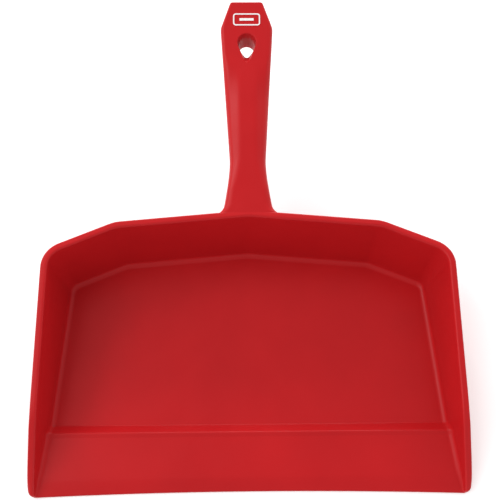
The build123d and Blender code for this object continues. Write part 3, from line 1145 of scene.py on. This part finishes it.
# Stations along the neck's root fillet, its flare and the grip, and the step between those inside the rim
FILLET_POINTS, FLARE_POINTS, GRIP_POINTS = 13, 22, 34
BURIED_STEP = 0.8


class DUSTPAN_OT_neck(bpy.types.Operator):
    """Build the flared neck and the faceted grip"""

    bl_idname = "dustpan.neck"
    bl_label = "Neck and grip"

    def execute(self, context):
        pan, handle = sizes()
        root = rim_back(pan)
        inside_wall = root - (pan.flange_width - pan.wall_thickness / 2)
        fillet = handle.root_fillet * (1 - np.cos(np.linspace(0, 90, FILLET_POINTS) * DEGREES))
        neck_end = root + handle.neck_run
        flare = np.linspace(handle.root_fillet, handle.neck_run, FLARE_POINTS)[1:]
        buried = [inside_wall, root - 2 * BURIED_STEP, root - BURIED_STEP]
        neck = np.concatenate([buried, root + fillet, root + flare])
        block = handle.overall_length - handle.end_block_length
        grip = np.linspace(neck_end, block, GRIP_POINTS)
        for name, depths in (("handle_neck", neck), ("handle_grip", grip)):
            add_piece(f"{name}_skin", plate(*handle_stretch(pan, handle, depths)), name)
        return {"FINISHED"}


class DUSTPAN_OT_end(bpy.types.Operator):
    """Build the end block with its hanging hole"""

    bl_idname = "dustpan.end"
    bl_label = "End block"

    def execute(self, context):
        pan, handle = sizes()
        y, place, angle, width, depth = block_rays(pan, handle)
        wall = hole_wall(pan, handle, angle)
        top = block_face(pan, handle, wall[0][:, :2], y, place, False)
        under = block_face(pan, handle, wall[-1][:, :2], y, place, True)
        patches = [skin(top), skin(under), skin(wall)]
        start_top, start_under = top[-1, :width], under[-1, :width]
        end = slice(width + depth - 2, 2 * width + depth - 2)
        patches.append(cap(across(start_top, start_under)))
        patches.append(skin(across(top[-1, end], under[-1, end], END_RINGS)))
        add_piece("handle_end_skin", patches, "handle_end")
        return {"FINISHED"}


class DUSTPAN_OT_seams(bpy.types.Operator):
    """Blend the shading of the moulding's pieces and ink the printed mark"""

    bl_idname = "dustpan.seams"
    bl_label = "Seams and mark"

    def execute(self, context):
        moulded = [o for o in context.scene.objects if o.type == "MESH" and SKIN in o.data.attributes]
        if not moulded:
            raise RuntimeError("no moulded piece is there to blend")
        blend_seams(moulded)
        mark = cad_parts["printed_mark"]
        mark.data.materials.clear()
        mark.data.materials.append(white_ink())
        return {"FINISHED"}


CAMERA_AZIMUTH = -2.71
CAMERA_ELEVATION = 69.3
CAMERA_ROLL = 2.15
CAMERA_DISTANCE = 0.5829
CAMERA_LENS = 60.4
CAMERA_SENSOR = 36
CAMERA_CLIP = (0.01, 50)
CAMERA_SHIFT = (0.0032, 0.0379)
CAMERA_HEIGHT = 0.03
CAMERA_AIM = 0.15


def camera_axes():
    """Right, up and backward directions of a camera turned about Z, raised and then rolled."""
    azimuth, elevation, roll = (v * DEGREES for v in (CAMERA_AZIMUTH, CAMERA_ELEVATION, CAMERA_ROLL))
    back = Vector(
        (
            math.sin(azimuth) * math.cos(elevation),
            -math.cos(azimuth) * math.cos(elevation),
            math.sin(elevation),
        )
    )
    level = Vector((math.cos(azimuth), math.sin(azimuth), 0))
    upward = back.cross(level)
    right = level * math.cos(roll) + upward * math.sin(roll)
    return right, back.cross(right), back


def add_softbox(name, place, size, power):
    """A rectangular area light that faces the part's middle."""
    data = bpy.data.lights.new(name, "AREA")
    data.shape = "RECTANGLE"
    data.size, data.size_y = size
    data.energy = power
    lamp = bpy.data.objects.new(name, data)
    lamp.location = place
    lamp.rotation_euler = (-Vector(place)).to_track_quat("-Z", "Y").to_euler()
    bpy.context.scene.collection.objects.link(lamp)


# Name, place and size in metres, and power in watts, of each softbox
SOFTBOXES = (
    ("key", (-1.3, -0.2, 1.7), (1.6, 1.6), 15),
    ("back_strip", (0.1, 2.0, 0.95), (2.2, 0.4), 24),
    ("sparkle", (-1.4, 0.75, 1.5), (0.5, 0.5), 5),
)
STAGE_REACH = 12.0
STAGE_DROP = 0.0003
AIR_STRENGTH = 1.15
AIR_ZENITH = 0.5
AIR_FALL = (0.5, 0.92)
AIR_FRONT = 0.7
AIR_FRONT_FALL = (-0.8, 0.15)


def studio_air():
    """A white surround that darkens towards the ceiling and towards the front, by the direction looked in."""
    world = bpy.data.worlds.new("studio_air")
    world.use_nodes = True
    tree = world.node_tree
    direction = tree.nodes.new("ShaderNodeTexCoord").outputs["Generated"]
    parts = tree.nodes.new("ShaderNodeSeparateXYZ")
    tree.links.new(direction, parts.inputs["Vector"])
    ceiling = ranged(tree, parts.outputs["Z"], AIR_STRENGTH, AIR_STRENGTH * AIR_ZENITH, *AIR_FALL)
    front = ranged(tree, parts.outputs["Y"], AIR_FRONT, 1, *AIR_FRONT_FALL)
    strength = add_node(tree, "ShaderNodeMath", operation="MULTIPLY")
    tree.links.new(ceiling, strength.inputs[0])
    tree.links.new(front, strength.inputs[1])
    background = tree.nodes["Background"]
    background.inputs["Color"].default_value = (1, 1, 1, 1)
    tree.links.new(strength.outputs["Value"], background.inputs["Strength"])
    return world


class DUSTPAN_OT_studio(bpy.types.Operator):
    """Set up the pale floor, the soft lights and the camera"""

    bl_idname = "dustpan.studio"
    bl_label = "Studio"

    def execute(self, context):
        scene = context.scene
        handle = millimetres(scene.dustpan_handle)
        far, low = STAGE_REACH, -STAGE_DROP
        corners = [(-far, -far, low), (far, -far, low), (far, far, low), (-far, far, low)]
        mesh = bpy.data.meshes.new("studio_floor")
        mesh.from_pydata(corners, [], [(0, 1, 2, 3)])
        floor = bpy.data.objects.new("studio_floor", mesh)
        scene.collection.objects.link(floor)
        mesh.materials.append(stage_paint())
        for lamp in SOFTBOXES:
            add_softbox(*lamp)
        scene.world = studio_air()
        scene.view_settings.view_transform = "Standard"
        right, up, back = camera_axes()
        data = bpy.data.cameras.new("camera")
        data.lens = CAMERA_LENS
        data.sensor_width = CAMERA_SENSOR
        data.shift_x, data.shift_y = CAMERA_SHIFT
        data.clip_start, data.clip_end = CAMERA_CLIP
        camera = bpy.data.objects.new("camera", data)
        shift = handle.overall_length * MM - TIP_BOX[1].y
        aim = Vector((0, CAMERA_AIM - shift, CAMERA_HEIGHT))
        turn = Matrix((right, up, back)).transposed().to_4x4()
        camera.matrix_world = Matrix.Translation(aim + back * CAMERA_DISTANCE) @ turn
        scene.collection.objects.link(camera)
        scene.camera = camera
        return {"FINISHED"}


class DUSTPAN_PT_sidebar(bpy.types.Panel):
    """The dustpan's building steps"""

    bl_label = "Dustpan"
    bl_idname = "DUSTPAN_PT_sidebar"
    bl_space_type = "VIEW_3D"
    bl_region_type = "UI"
    bl_category = "Dustpan"

    def draw(self, context):
        for step in STEPS:
            self.layout.operator(step.bl_idname)
        for group in ("dustpan_pan", "dustpan_handle", "dustpan_finishes"):
            box = self.layout.box()
            settings = getattr(context.scene, group)
            for name in settings.__annotations__:
                box.prop(settings, name)


STEPS = (
    DUSTPAN_OT_floor,
    DUSTPAN_OT_walls,
    DUSTPAN_OT_rims,
    DUSTPAN_OT_neck,
    DUSTPAN_OT_end,
    DUSTPAN_OT_seams,
    DUSTPAN_OT_studio,
)
GROUPS = {"dustpan_pan": PanSizes, "dustpan_handle": HandleSizes, "dustpan_finishes": Finishes}


def register():
    for group in GROUPS.values():
        bpy.utils.register_class(group)
    for name, group in GROUPS.items():
        setattr(bpy.types.Scene, name, PointerProperty(type=group))
    for step in STEPS:
        bpy.utils.register_class(step)
    bpy.utils.register_class(DUSTPAN_PT_sidebar)


def unregister():
    bpy.utils.unregister_class(DUSTPAN_PT_sidebar)
    for step in reversed(STEPS):
        bpy.utils.unregister_class(step)
    for name, group in GROUPS.items():
        delattr(bpy.types.Scene, name)
        bpy.utils.unregister_class(group)


def main():
    register()
    for step in STEPS:
        group, name = step.bl_idname.split(".")
        getattr(getattr(bpy.ops, group), name)()


if __name__ == "__main__":
    main()
